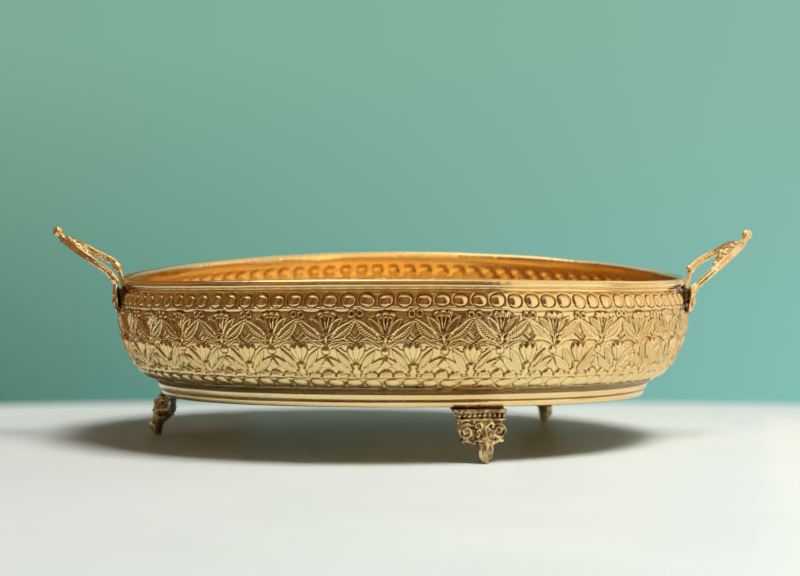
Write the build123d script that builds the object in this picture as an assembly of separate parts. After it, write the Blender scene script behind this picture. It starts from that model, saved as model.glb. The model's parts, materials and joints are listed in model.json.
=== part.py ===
from build123d import *

import os
from math import asin, cos, degrees, radians, sin

# Footed brass urli bowl: a wide, shallow sheet-brass dish on three cast feet, with two cast loop handles.
#
# The bowl is one spun sheet whose edge is curled round a wire. A moulded ring is soldered round its bottom
# corner. Each foot is riveted to the ring's flange, below the floor, so that no hole reaches the water. Each
# handle stands on two leaf-shaped pads, and each pad is held by one rivet through the wall, below the rim.
#
# Millimetres, +Z up. The origin is the centre of the circle through the toes, on the plane the toes stand on.
# +X points at the right handle. Bearings turn anticlockwise from +X, seen from above.

# Bowl sheet, described by its outer face: radii and heights of the section, from the floor up to the neck.
SHEET = 0.9
BELLY_RADIUS = 152.6
BELLY_HEIGHT = 72.0
FLANK_CURVE = 50.0
CORNER_CURVE = 32.0
SHOULDER_CURVE = 16.0
COVE_CURVE = 1.6
FLANK_START = -23.6
FLANK_END = 4.6
SHOULDER_END = 40.0

# Wired edge
RIM_HEIGHT = 91.0
CURL_RADIUS = 2.1
WIRE_RADIUS = 1.3
WIRE_CLEARANCE = 0.05
CURL_SLIT = (-75.0, -50.0)

# Base ring
RING_BOTTOM = 28.3
RING_FLANGE = 1.4
RING_INSIDE = 107.0
RING_WALL = 1.9
BEAD_RADIUS = 1.8
LOWER_BEAD = (127.9, 30.1)
UPPER_BEAD = (129.9, 33.9)

# Feet
FOOT_BEARINGS = {"front": -72.5, "rear_right": 53.8, "left": 169.5}
ABACUS_INSIDE = 111.0
ABACUS_OUTSIDE = 133.4
ABACUS_WIDTH = 28.6
ABACUS_THICKNESS = 2.2
PEARL_BAND_HEIGHT = 2.8
PEARL_BAND_WIDTH = 26.4
PEARL_BAND_INSIDE = 126.4
PEARL_BAND_INSET = 1.0
PEARL_RADIUS = 1.3
PEARL_COUNT = 9
VOLUTE_RADIUS = 4.3
VOLUTE_OFFSET = 8.8
VOLUTE_HEIGHT = 16.6
VOLUTE_INSIDE = 126.4
VOLUTE_OUTSIDE = 136.8
VOLUTE_STAND = 2.0
# The leg's cross-sections, from its top down: height, distance from the bowl's axis, depth and width.
LEG_SECTIONS = [
    (24.0, 129.6, 7.0, 13.0),
    (17.0, 131.8, 11.0, 11.0),
    (11.5, 132.8, 8.8, 8.8),
    (6.5, 136.0, 9.0, 7.8),
    (2.2, 136.4, 6.8, 6.4),
    (0.0, 136.0, 4.6, 4.4),
]
KNUCKLE_RADIUS = 1.6
KNUCKLE_OFFSET = 4.6
KNUCKLE_HEIGHT = 10.6
KNUCKLE_DISTANCE = 135.0

# Foot rivets, up through the abacus and the ring's flange
FOOT_RIVET_DISTANCE = 117.0
FOOT_RIVET_OFFSET = 8.0
FOOT_RIVET_SHANK = 1.6
FOOT_RIVET_HEAD = 3.0
FOOT_RIVET_DOME = 1.6
RIVET_CLEARANCE = 0.04

# Handles
HANDLE_BEARINGS = {"right": 0, "left": 180}
PAD_OFFSET = 27.0
PAD_HEIGHT = 81.2
PAD_HALF_HEIGHT = 7.4
PAD_HALF_WIDTH = 5.4
PAD_FACE = 156.4
PAD_DEPTH = 6.0
RIM_GAP = 0.8
LOOP_SLOPE = 41.5
LOOP_ROOT = (157.0, 89.0)
LOOP_LENGTH = 36.0
LOOP_HALF_WIDTH = 30.0
LOOP_BAR = 2.1
# The loop's bends, from its pad to near its crown, as shares of its length and of its half-width
LOOP_BENDS = [(0.36, 1.0), (0.74, 0.76), (0.95, 0.36)]
ROSETTE_RADIUS = 8.5
ROSETTE_THICKNESS = 4.0
ROSETTE_ALONG = 0.62
LEAF_REACH = 25.0
LEAF_WIDTH = 4.4
LEAF_THICKNESS = 2.4
STEM_REACH = 14.0
FINIAL_RADIUS = 3.6

# Handle rivets, inward through the lower half of each pad and the wall
HANDLE_RIVET_HEIGHT = 79.0
HANDLE_RIVET_SHANK = 1.5
HANDLE_RIVET_HEAD = 2.7
HANDLE_RIVET_DOME = 1.7
HANDLE_RIVET_TAIL = 1.1


def polar(centre, radius, angle):
    """A point of the section plane, at a distance and an angle in degrees from a centre."""
    return (
        centre[0] + radius * cos(radians(angle)),
        centre[1] + radius * sin(radians(angle)),
    )


FLANK_CENTRE = (BELLY_RADIUS - FLANK_CURVE, BELLY_HEIGHT)
CORNER_CENTRE = polar(FLANK_CENTRE, FLANK_CURVE - CORNER_CURVE, FLANK_START)
SHOULDER_CENTRE = polar(FLANK_CENTRE, FLANK_CURVE - SHOULDER_CURVE, FLANK_END)
COVE_CENTRE = polar(SHOULDER_CENTRE, SHOULDER_CURVE + COVE_CURVE, SHOULDER_END)
CURL_CENTRE = (
    COVE_CENTRE[0] - COVE_CURVE - SHEET + CURL_RADIUS,
    RIM_HEIGHT - CURL_RADIUS,
)
PAD_BEARING = degrees(asin(PAD_OFFSET / BELLY_RADIUS))


def on_section(point):
    """A (radius, height) pair as a point of the XZ plane."""
    return (point[0], 0, point[1])


def section_line(start, end):
    return Line(on_section(start), on_section(end))


def section_arc(centre, radius, start, end):
    """A circular arc of the section plane, between two angles in degrees."""
    points = [polar(centre, radius, a) for a in (start, (start + end) / 2, end)]
    return ThreePointArc(*[on_section(p) for p in points])


def spin(*edges):
    """The solid that a closed outline of the section plane sweeps round the bowl's axis."""
    return revolve(Face(Wire(edges)), Axis.Z, 360)


def wall_edges(depth):
    """The bowl's section from the floor's centre to inside the curl, at a depth below its outer face."""
    floor = CORNER_CENTRE[1] - CORNER_CURVE + depth
    neck = COVE_CENTRE[0] - COVE_CURVE - depth
    return [
        section_line((0, floor), (CORNER_CENTRE[0], floor)),
        section_arc(CORNER_CENTRE, CORNER_CURVE - depth, -90, FLANK_START),
        section_arc(FLANK_CENTRE, FLANK_CURVE - depth, FLANK_START, FLANK_END),
        section_arc(SHOULDER_CENTRE, SHOULDER_CURVE - depth, FLANK_END, SHOULDER_END),
        section_arc(COVE_CENTRE, COVE_CURVE + depth, SHOULDER_END + 180, 180),
        section_line((neck, COVE_CENTRE[1]), (neck, CURL_CENTRE[1] - WIRE_RADIUS)),
    ]


def filled_bowl(depth):
    """Everything inside the bowl's section at a depth below its outer face, closed off flat at the neck."""
    edges = wall_edges(depth)
    top = edges[-1] @ 1
    low = edges[0] @ 0
    return spin(*edges, Line(top, (0, 0, top.Z)), Line((0, 0, top.Z), low))


def bowl_shell():
    """The spun sheet: floor, wall, and the curl rolled outward over the rim wire, open by a slit below."""
    sheet = filled_bowl(0) - filled_bowl(SHEET)
    slit_end, slit_start = CURL_SLIT
    hole = WIRE_RADIUS + WIRE_CLEARANCE
    curl = spin(
        section_arc(CURL_CENTRE, CURL_RADIUS, slit_start, slit_end + 360),
        section_line(
            polar(CURL_CENTRE, CURL_RADIUS, slit_end), polar(CURL_CENTRE, hole, slit_end)
        ),
        section_arc(CURL_CENTRE, hole, slit_end + 360, slit_start),
        section_line(
            polar(CURL_CENTRE, hole, slit_start), polar(CURL_CENTRE, CURL_RADIUS, slit_start)
        ),
    )
    wire_room = hoop(CURL_CENTRE, hole)
    shell = sheet - wire_room + curl
    for middle in HANDLE_BEARINGS.values():
        for bearing in handle_rivet_bearings(middle):
            shell -= handle_rivet_hole(bearing)
    return shell


def hoop(centre, radius):
    """A round bar bent into a full circle about the bowl's axis."""
    return Pos(0, 0, centre[1]) * Torus(centre[0], radius)


def rim_wire():
    return hoop(CURL_CENTRE, WIRE_RADIUS)


def base_ring():
    """The foot moulding: two beads outside, and a flange below the floor that the feet are riveted to."""
    inside = LOWER_BEAD[0] - RING_WALL
    top = UPPER_BEAD[1] + BEAD_RADIUS
    flange_top = RING_BOTTOM + RING_FLANGE
    band = spin(
        section_line((RING_INSIDE, RING_BOTTOM), (LOWER_BEAD[0], RING_BOTTOM)),
        section_line((LOWER_BEAD[0], RING_BOTTOM), (UPPER_BEAD[0], UPPER_BEAD[1])),
        section_line((UPPER_BEAD[0], UPPER_BEAD[1]), (UPPER_BEAD[0], top)),
        section_line((UPPER_BEAD[0], top), (inside, top)),
        section_line((inside, top), (inside, flange_top)),
        section_line((inside, flange_top), (RING_INSIDE, flange_top)),
        section_line((RING_INSIDE, flange_top), (RING_INSIDE, RING_BOTTOM)),
    )
    for bead in (LOWER_BEAD, UPPER_BEAD):
        band += hoop(bead, BEAD_RADIUS)
    ring = band - filled_bowl(0)
    for bearing in FOOT_BEARINGS.values():
        for hole in foot_rivet_axes(bearing):
            ring -= hole * Cylinder(FOOT_RIVET_SHANK + RIVET_CLEARANCE, 4 * RING_FLANGE)
    return ring


def foot_rivet_axes(bearing):
    """Where one foot's two rivets pass the joint between the abacus and the flange."""
    return [
        Rot(0, 0, bearing) * Pos(FOOT_RIVET_DISTANCE, side * FOOT_RIVET_OFFSET, RING_BOTTOM)
        for side in (-1, 1)
    ]


def foot(bearing):
    """A cast foot: abacus plate, pearl band, two volutes, and a leg that leans out to a blunt toe."""
    top = RING_BOTTOM
    band_top = top - ABACUS_THICKNESS
    band_low = band_top - PEARL_BAND_HEIGHT
    band_outside = ABACUS_OUTSIDE - PEARL_BAND_INSET
    abacus = block(ABACUS_INSIDE, ABACUS_OUTSIDE, ABACUS_WIDTH, band_top, top)
    body = abacus + block(PEARL_BAND_INSIDE, band_outside, PEARL_BAND_WIDTH, band_low, band_top)
    pitch = (PEARL_BAND_WIDTH - 2 * PEARL_RADIUS) / (PEARL_COUNT - 1)
    for i in range(PEARL_COUNT):
        across = (i - (PEARL_COUNT - 1) / 2) * pitch
        body += Pos(band_outside, across, (band_top + band_low) / 2) * Sphere(PEARL_RADIUS)
    for side in (-1, 1):
        middle = (VOLUTE_INSIDE + VOLUTE_OUTSIDE) / 2
        scroll = Rot(0, 90, 0) * Cylinder(VOLUTE_RADIUS, VOLUTE_OUTSIDE - VOLUTE_INSIDE)
        body += Pos(middle, side * VOLUTE_OFFSET, VOLUTE_HEIGHT) * scroll
        knuckle = Pos(KNUCKLE_DISTANCE, side * KNUCKLE_OFFSET, KNUCKLE_HEIGHT)
        body += knuckle * Sphere(KNUCKLE_RADIUS)
    body += block(VOLUTE_INSIDE, VOLUTE_OUTSIDE - VOLUTE_STAND, 2 * VOLUTE_OFFSET, VOLUTE_HEIGHT, band_low)
    body += loft(
        [
            Pos(distance, 0, height) * Ellipse(depth / 2, width / 2)
            for height, distance, depth, width in reversed(LEG_SECTIONS)
        ]
    )
    placed = Rot(0, 0, bearing) * body
    for hole in foot_rivet_axes(bearing):
        placed -= hole * Cylinder(FOOT_RIVET_SHANK + RIVET_CLEARANCE, 4 * ABACUS_THICKNESS)
    return placed


def block(inside, outside, width, low, high):
    """A box set across the +X axis, between two distances from the bowl's axis and two heights."""
    centre = Pos((inside + outside) / 2, 0, (low + high) / 2)
    return centre * Box(outside - inside, width, high - low)


def foot_rivet(axis):
    """A rivet with a low dome below the abacus, and a flat head in the gap between flange and floor."""
    low = -ABACUS_THICKNESS
    high = RING_FLANGE
    shank = Pos(0, 0, (low + high) / 2) * Cylinder(FOOT_RIVET_SHANK, high - low)
    head = Pos(0, 0, high + FOOT_RIVET_DOME / 2) * Cylinder(FOOT_RIVET_HEAD, FOOT_RIVET_DOME)
    upside_down = Pos(0, 0, low) * Rot(180, 0, 0)
    return axis * (shank + head + upside_down * dome(FOOT_RIVET_HEAD, FOOT_RIVET_DOME))


def dome(radius, height):
    """A spherical cap that stands on the XY plane."""
    sphere_radius = (radius**2 + height**2) / (2 * height)
    ball = Pos(0, 0, height - sphere_radius) * Sphere(sphere_radius)
    return ball & Pos(0, 0, height / 2) * Cylinder(radius * 1.01, height)


def handle_rivet_bearings(middle):
    """Bearings of one handle's two rivets, from the bearing of the handle's middle."""
    return [middle - PAD_BEARING, middle + PAD_BEARING]


def rivet_rod(bearing, radius, inside, outside):
    """A round rod on a handle rivet's axis, between two distances from the bowl's axis."""
    rod = Rot(0, 90, 0) * Cylinder(radius, outside - inside)
    return Rot(0, 0, bearing) * Pos((inside + outside) / 2, 0, HANDLE_RIVET_HEIGHT) * rod


def handle_rivet_hole(bearing):
    hole = HANDLE_RIVET_SHANK + RIVET_CLEARANCE
    return rivet_rod(bearing, hole, PAD_FACE - 2 * PAD_DEPTH, PAD_FACE + PAD_DEPTH)


def loop_point(along, across):
    """A point of the handle's sloping plane, from distances up the slope from the loop's root and sideways."""
    slope = radians(LOOP_SLOPE)
    return (LOOP_ROOT[0] + along * cos(slope), across, LOOP_ROOT[1] + along * sin(slope))


def handle_loop():
    """The bar, bent from one pad up and out to the crown and back down to the other pad."""
    bearing = radians(PAD_BEARING)
    half = [
        (PAD_FACE * cos(bearing), PAD_FACE * sin(bearing), PAD_HEIGHT + LOOP_BAR),
        loop_point(0, PAD_OFFSET + 1),
        *[loop_point(up * LOOP_LENGTH, out * LOOP_HALF_WIDTH) for up, out in LOOP_BENDS],
    ]
    crown = loop_point(LOOP_LENGTH, 0)
    mirrored = [(x, -y, z) for x, y, z in reversed(half)]
    path = Spline(*half, crown, *mirrored)
    return sweep(Plane(origin=path @ 0, z_dir=path % 0) * Circle(LOOP_BAR), path=path)


def pad(bearing):
    """The leaf-shaped plate below one end of the loop, standing square to the bowl's radius."""
    plate = Pos(PAD_FACE - PAD_DEPTH, 0, PAD_HEIGHT) * Rot(0, 90, 0)
    return Rot(0, 0, bearing) * plate * extrude(Ellipse(PAD_HALF_HEIGHT, PAD_HALF_WIDTH), PAD_DEPTH)


def handle(middle):
    """A cast handle: a sloping loop on two pads, with a rosette between two leaves, and a crown finial."""
    slope = radians(LOOP_SLOPE)
    face_up = Plane(
        origin=loop_point(ROSETTE_ALONG * LOOP_LENGTH, 0),
        x_dir=(cos(slope), 0, sin(slope)),
        z_dir=(-sin(slope), 0, cos(slope)),
    )
    body = handle_loop() + pad(-PAD_BEARING) + pad(PAD_BEARING)
    body += face_up * Cylinder(ROSETTE_RADIUS, ROSETTE_THICKNESS)
    body += face_up * Box(LEAF_WIDTH, 2 * LEAF_REACH, LEAF_THICKNESS)
    body += face_up * Pos(STEM_REACH / 2, 0, 0) * Box(STEM_REACH, LEAF_WIDTH, LEAF_THICKNESS)
    body += Pos(*loop_point(LOOP_LENGTH + LOOP_BAR, 0)) * Sphere(FINIAL_RADIUS)
    placed = Rot(0, 0, middle) * body - filled_bowl(0) - hoop(CURL_CENTRE, CURL_RADIUS + RIM_GAP)
    for bearing in handle_rivet_bearings(middle):
        placed -= handle_rivet_hole(bearing)
    return placed


def handle_rivet(bearing):
    """A rivet with a domed head on the pad's face, and a tail spread against the wall inside the bowl."""
    inside = BELLY_RADIUS - SHEET - HANDLE_RIVET_TAIL
    shank = rivet_rod(bearing, HANDLE_RIVET_SHANK, inside, PAD_FACE)
    tail = rivet_rod(bearing, HANDLE_RIVET_HEAD, inside, PAD_FACE) & filled_bowl(SHEET)
    facing_out = Rot(0, 0, bearing) * Pos(PAD_FACE, 0, HANDLE_RIVET_HEIGHT) * Rot(0, 90, 0)
    return shank + tail + facing_out * dome(HANDLE_RIVET_HEAD, HANDLE_RIVET_DOME)


os.makedirs("parts", exist_ok=True)
export_step(bowl_shell(), "parts/bowl_shell.step")
export_step(rim_wire(), "parts/rim_wire.step")
export_step(base_ring(), "parts/base_ring.step")
for place, bearing in FOOT_BEARINGS.items():
    export_step(foot(bearing), f"parts/foot_{place}.step")
    rivets = [foot_rivet(axis) for axis in foot_rivet_axes(bearing)]
    export_step(Compound(children=rivets), f"parts/rivets_foot_{place}.step")
for side, middle in HANDLE_BEARINGS.items():
    export_step(handle(middle), f"parts/handle_{side}.step")
    rivets = [handle_rivet(bearing) for bearing in handle_rivet_bearings(middle)]
    export_step(Compound(children=rivets), f"parts/rivets_handle_{side}.step")
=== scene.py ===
"""The look of a footed brass urli bowl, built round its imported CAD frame.

The bowl's wall is one sheet with a chased pattern: a row of round bosses, two rows of lotus flowers and a
row of ovals, raised as real geometry. The feet and handles are castings, modelled from bars, balls and leaves
that are fused into one skin. Shapes are worked out in millimetres, in the CAD's own frame, and become metres
when a mesh is made. Bearings turn anticlockwise from +X, seen from above, and the camera looks along +Y.
"""

import json
import math

import bpy
import numpy as np
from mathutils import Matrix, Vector


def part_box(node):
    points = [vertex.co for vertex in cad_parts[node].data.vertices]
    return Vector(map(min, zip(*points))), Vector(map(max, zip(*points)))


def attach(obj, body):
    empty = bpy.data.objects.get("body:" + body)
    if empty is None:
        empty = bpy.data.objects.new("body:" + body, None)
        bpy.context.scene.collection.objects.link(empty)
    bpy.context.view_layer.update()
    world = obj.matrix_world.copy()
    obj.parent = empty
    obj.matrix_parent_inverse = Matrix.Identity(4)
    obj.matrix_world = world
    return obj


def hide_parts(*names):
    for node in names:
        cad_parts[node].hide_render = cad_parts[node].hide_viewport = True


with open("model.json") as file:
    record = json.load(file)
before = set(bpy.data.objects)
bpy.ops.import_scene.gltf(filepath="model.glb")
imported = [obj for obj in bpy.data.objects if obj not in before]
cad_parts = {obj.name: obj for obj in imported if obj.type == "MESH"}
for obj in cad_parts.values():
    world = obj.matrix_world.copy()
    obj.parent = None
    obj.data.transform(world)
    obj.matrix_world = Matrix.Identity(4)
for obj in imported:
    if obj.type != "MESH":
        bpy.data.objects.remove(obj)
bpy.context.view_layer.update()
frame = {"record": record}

MM = 0.001
random = np.random.default_rng(11)


# ---------------------------------------------------------------- sizes, from the frame

def box_mm(node):
    """The lowest and highest corners of a CAD node, in millimetres."""
    low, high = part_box(node)
    return np.array(low) / MM, np.array(high) / MM


SHELL_LOW, SHELL_HIGH = box_mm("bowl_shell")
WIRE_LOW, WIRE_HIGH = box_mm("rim_wire")
RING_LOW, RING_HIGH = box_mm("base_ring")

BELLY_RADIUS = SHELL_HIGH[0]
BELLY_HEIGHT = 72.0
RIM_TOP = SHELL_HIGH[2]
FLOOR_UNDERSIDE = SHELL_LOW[2]
SHEET = 0.9
WIRE_RADIUS = (WIRE_HIGH[2] - WIRE_LOW[2]) / 2
WIRE_HEIGHT = (WIRE_HIGH[2] + WIRE_LOW[2]) / 2
CURL_RADIUS = RIM_TOP - WIRE_HEIGHT
CURL_CENTRE = (WIRE_HIGH[0] - WIRE_RADIUS, WIRE_HEIGHT)
RING_BOTTOM = RING_LOW[2]
RING_TOP = RING_HIGH[2]

# The wall's section is four arcs: corner, flank, shoulder and cove. These are their radii and end angles.
FLANK_CURVE = 50.0
CORNER_CURVE = 32.0
SHOULDER_CURVE = 16.0
COVE_CURVE = 1.6
FLANK_START = -23.6
FLANK_END = 4.6
SHOULDER_END = 40.0

# The real bowl isn't quite level: its body sags at the handles, and its rim rises between them.
RIM_DIP = 3.1
BODY_SAG = 2.8
DIP_START = 42.0
DIP_FULL = 84.0

# Chased bands on the wall, as heights on the smooth sheet
BOSS_COUNT = 101
BOSS_HEIGHT = 80.9
BOSS_RADIUS = 3.8
UPPER_LINE = 76.7
UPPER_BASE = 62.3
LOWER_LINE = 44.6
LOWER_BASE = 45.7
OVAL_COUNT = 93
OVAL_HEIGHT = 40.8
MOTIF_COUNT = 32
FIRST_UPPER_BEARING = -93.5
FIRST_BOSS_BEARING = -89.7
FIRST_OVAL_BEARING = -88.4

# The chased ground lies this far out from the smooth sheet. Unevenness is counted in cycles over WALL_LENGTH.
GROUND = -0.38
WALL_LENGTH = 60
WALL_STEP = 0.33
WALL_COLUMNS = 2816

# Each handle's two pads are riveted to the wall at this bearing to either side of its middle.
PAD_BEARING = math.degrees(math.asin(27.0 / BELLY_RADIUS))


# ---------------------------------------------------------------- small geometry helpers

def polar(centre, radius, angle):
    """Points of the section plane at a distance and angles in degrees from a centre."""
    angle = np.radians(angle)
    return np.stack([centre[0] + radius * np.cos(angle), centre[1] + radius * np.sin(angle)], axis=-1)


def arc(centre, radius, start, end, step=0.1):
    """Points along a circular arc of the section plane, about a step apart."""
    count = max(3, int(abs(math.radians(end - start)) * radius / step))
    return polar(centre, radius, np.linspace(start, end, count))


def smooth_step(low, high, value):
    t = np.clip((value - low) / (high - low), 0, 1)
    return t * t * (3 - 2 * t)


def waves(bearing, height, strength, around, upward, count=14):
    """Smooth unevenness that closes on itself round the bowl, from waves of limited turns and cycles."""
    total = np.zeros(np.broadcast(bearing, height).shape)
    for _ in range(count):
        turns = int(random.integers(-around, around + 1))
        cycles = random.uniform(-upward, upward) * 2 * np.pi
        phase = random.uniform(0, 2 * np.pi)
        total += np.sin(turns * np.radians(bearing) + cycles * height + phase)
    return strength * total / math.sqrt(count / 2)


def blurred(field, times):
    """A field over the wall, smoothed by its neighbours so many times; it wraps round the bowl."""
    for _ in range(times):
        field = (np.roll(field, 1, axis=1) + 2 * field + np.roll(field, -1, axis=1)) / 4
        padded = np.pad(field, ((1, 1), (0, 0)), mode="edge")
        field = (padded[:-2] + 2 * padded[1:-1] + padded[2:]) / 4
    return field


def dipped(points):
    """Points of the object, moved with its warp: the body sags at the handles and the rim rises between them.

    Nothing moves at the toes' level or near the bowl's axis.
    """
    moved = np.array(points, float)
    x, y, z = moved[..., 0], moved[..., 1], moved[..., 2]
    bearing = np.arctan2(y, x)
    share = smooth_step(DIP_START, DIP_FULL, z)
    held = np.clip(z / RING_BOTTOM, 0, 1) * smooth_step(60, 105, np.hypot(x, y))
    sag = BODY_SAG * np.cos(bearing) ** 2 * held
    moved[..., 2] -= sag * (1 - share) + RIM_DIP * np.cos(2 * bearing) * share
    return moved


# ---------------------------------------------------------------- meshes

def new_mesh(name, points, faces, hollow=None):
    """A mesh object from points in millimetres and lists of faces. hollow is a value for each point."""
    mesh = bpy.data.meshes.new(name)
    corners = np.concatenate([f.ravel() for f in faces])
    sizes = np.concatenate([np.full(len(f), f.shape[1]) for f in faces])
    starts = np.concatenate([[0], np.cumsum(sizes)[:-1]])
    mesh.vertices.add(len(points))
    mesh.vertices.foreach_set("co", (np.asarray(points) * MM).astype(np.float32).ravel())
    mesh.loops.add(len(corners))
    mesh.loops.foreach_set("vertex_index", corners.astype(np.int32))
    mesh.polygons.add(len(sizes))
    mesh.polygons.foreach_set("loop_start", starts.astype(np.int32))
    mesh.update(calc_edges=True)
    mesh.validate()
    mesh.shade_smooth()
    thing = bpy.data.objects.new(name, mesh)
    bpy.context.scene.collection.objects.link(thing)
    if hollow is not None:
        store_hollow(thing, hollow)
    return thing


def store_hollow(thing, values):
    attribute = thing.data.attributes.new("hollow", "FLOAT", "POINT")
    attribute.data.foreach_set("value", np.clip(values, 0, 1).astype(np.float32))


def ring_faces(start_a, count_a, start_b, count_b):
    """The faces between two closed rows of points; one row may have twice as many points as the other."""
    if count_a == count_b:
        i = np.arange(count_a)
        j = (i + 1) % count_a
        return [np.stack([start_a + i, start_a + j, start_b + j, start_b + i], axis=1)]
    if count_a == 2 * count_b:
        i = np.arange(count_b)
        j = (i + 1) % count_b
        fine = start_a + 2 * i
        middle = fine + 1
        fine_next = start_a + (2 * i + 2) % count_a
        return [
            np.stack([fine, middle, start_b + i], axis=1),
            np.stack([middle, start_b + j, start_b + i], axis=1),
            np.stack([middle, fine_next, start_b + j], axis=1),
        ]
    return [f[:, ::-1] for f in ring_faces(start_b, count_b, start_a, count_a)]


def skinned(rows, closed=False):
    """Points and faces of a solid from closed rows of points, joined into a ring or capped at its ends."""
    starts = np.concatenate([[0], np.cumsum([len(r) for r in rows])])
    points = np.concatenate(rows)
    faces = []
    for k in range(len(rows) - 1):
        faces += ring_faces(starts[k], len(rows[k]), starts[k + 1], len(rows[k + 1]))
    if closed:
        return points, faces + ring_faces(starts[-2], len(rows[-1]), 0, len(rows[0]))
    for start, row, turn in ((0, rows[0], -1), (starts[-2], rows[-1], 1)):
        i = np.arange(len(row))
        j = (i + 1) % len(row)
        fan = np.stack([start + i, start + j, np.full(len(row), len(points))], axis=1)
        faces.append(fan[:, ::turn])
        points = np.concatenate([points, row.mean(axis=0)[None]])
    return points, faces


def joined(solids):
    """The points and faces of several solids as one list of each."""
    points = np.concatenate([p for p, _ in solids])
    starts = np.cumsum([0] + [len(p) for p, _ in solids])
    return points, [f + start for (_, faces), start in zip(solids, starts) for f in faces]


def spun_row(radius, height, columns):
    """One closed row of points round the bowl's axis; the radius and height may vary with the bearing."""
    bearing = np.arange(columns) * 2 * np.pi / columns
    radius = np.broadcast_to(radius, bearing.shape)
    height = np.broadcast_to(height, bearing.shape)
    return np.stack([radius * np.cos(bearing), radius * np.sin(bearing), height], axis=1)


# ---------------------------------------------------------------- chasing: how the pattern is raised

def puff(depth, height, shoulder):
    """A pillowed top: it rises like a quarter circle from the edge to full height at the shoulder."""
    inward = np.clip(depth / shoulder, 0, 1)
    return height * np.sqrt(1 - (1 - inward) ** 2)


def dome(depth, height, radius):
    """A shallow round top, like a lens, that is highest where the depth reaches the radius."""
    inward = np.clip(depth / radius, 0, 1)
    return height * (1 - (1 - inward) ** 2)


def emboss(surface, depth, top, line=0.26):
    """Lays a shape over the surface where its depth is positive, and chases a line round its edge."""
    cover = smooth_step(-0.14, 0.14, depth)
    groove = line * np.exp(-(((depth + 0.18) / 0.3) ** 2))
    return surface * (1 - cover) + top * cover - groove


def framed(surface, depth, floor, rim=0.42, width=0.42, line=0.24):
    """A shape drawn by a thin raised rim round its own floor, which may be sunken and hatched."""
    edge = rim * np.exp(-(((depth - width) / (0.75 * width)) ** 2))
    return emboss(surface, depth, edge + floor * smooth_step(0.8 * width, 2.0 * width, depth), line)


def disc(u, v, centre, half_width, half_height=None):
    """How deep each point lies inside a round or oval shape, in millimetres."""
    half_height = half_height or half_width
    reach = np.hypot((u - centre[0]) / half_width, (v - centre[1]) / half_height)
    return (1 - reach) * min(half_width, half_height)


def leaf(u, v, base, tip, half_width, bow=0.0, belly=1.0):
    """A leaf from base to tip: depth inside it, and the distances along its rib and across it.

    bow bends it sideways; belly above 1 moves its fullest point towards the tip.
    """
    run, rise = tip[0] - base[0], tip[1] - base[1]
    length = math.hypot(run, rise)
    share = ((u - base[0]) * run + (v - base[1]) * rise) / length**2
    across = ((v - base[1]) * run - (u - base[0]) * rise) / length
    across = across - bow * 4 * share * (1 - share)
    half = half_width * np.sin(np.pi * np.clip(share, 0, 1) ** belly)
    outside = np.maximum(-share, share - 1) * length
    depth = np.where(outside > 0, -np.hypot(outside, across), half - np.abs(across))
    return depth, share * length, across


def hatch(distance, pitch, strength):
    """Fine chased strokes, as a wave over a distance."""
    return strength * np.sin(2 * np.pi * distance / pitch)


def ridge(surface, distance, half_width, height):
    """Adds a thin raised line where the distance from it is small."""
    return surface + height * np.exp(-((distance / half_width) ** 2))


def comb_leaf(surface, u, v, base, tip, half_width, bow, floor):
    """A broad leaf with a raised rib, and short strokes that slant from the rib to its rim like a comb."""
    depth, along, across = leaf(u, v, base, tip, half_width, bow)
    strokes = hatch(along - 0.8 * np.abs(across), 1.3, 0.17)
    surface = framed(surface, depth, floor + strokes)
    return np.where(depth > 0.5, ridge(surface, across, 0.32, 0.34), surface)


def hatched_leaf(surface, u, v, base, tip, half_width, bow, floor):
    """A narrow leaf with a bright rim and a sunken inside, hatched at a slant."""
    depth, along, across = leaf(u, v, base, tip, half_width, bow)
    return framed(surface, depth, floor + hatch(along + 1.5 * across, 1.2, 0.18), rim=0.55)


def fan(surface, u, v, root, petals):
    """A fan of petals from one root. petals lists angle, length, half-width and height, back ones first."""
    for angle, length, half_width, height in petals:
        lean = math.radians(angle)
        tip = (root[0] + length * math.sin(lean), root[1] + length * math.cos(lean))
        depth, _, _ = leaf(u, v, root, tip, half_width, belly=2.0)
        surface = emboss(surface, depth, puff(depth, height, 1.1), line=0.36)
    return surface


def upper_lotus(surface, u, v):
    """A flower of the upper row: a comb leaf and a hatched leaf to each side of a fan of thin ribs."""
    m = np.abs(u)
    surface = comb_leaf(surface, m, v, (0.5, -0.4), (15.3, 10.8), 3.0, -1.5, -0.12)
    recess = (1 - m / 7.2 - np.abs(v - 10.2) / 6.4) * 3.6
    surface = emboss(surface, recess, -0.62, line=0.1)
    for centre in ((0, 12.0), (3.2, 11.6)):
        scallop = disc(m, v, centre, 1.75, 1.5)
        surface = framed(surface, scallop, 0.05, rim=0.5, line=0.1)
    surface = fan(surface, u, v, (0, 3.0), [(a, 9.8, 0.62, 0.62) for a in (-27, 27, -9, 9)])
    surface = hatched_leaf(surface, m, v, (0.5, 1.2), (8.9, 11.0), 2.1, 0.5, -0.42)
    stem, _, _ = leaf(u, v, (0, 3.6), (0, -2.2), 0.9)
    return emboss(surface, stem, puff(stem, 0.5, 0.8))


def upper_gap(surface, u, v):
    """Between two flowers of the upper row: two loops hung from the line, over a sunken hatched diamond."""
    m = np.abs(u)
    side_height = 4.2
    reach = np.where(v > side_height, (v - side_height) / 6.0, (side_height - v) / 3.6)
    diamond = (1 - m / 3.9 - reach) * 2.6
    surface = framed(surface, diamond, -0.45 + hatch(u + v, 1.3, 0.13), rim=0.5)
    loop = disc(m, v, (1.95, 12.0), 1.85, 1.9)
    return framed(surface, loop, -0.5, rim=0.55, width=0.5)


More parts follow.
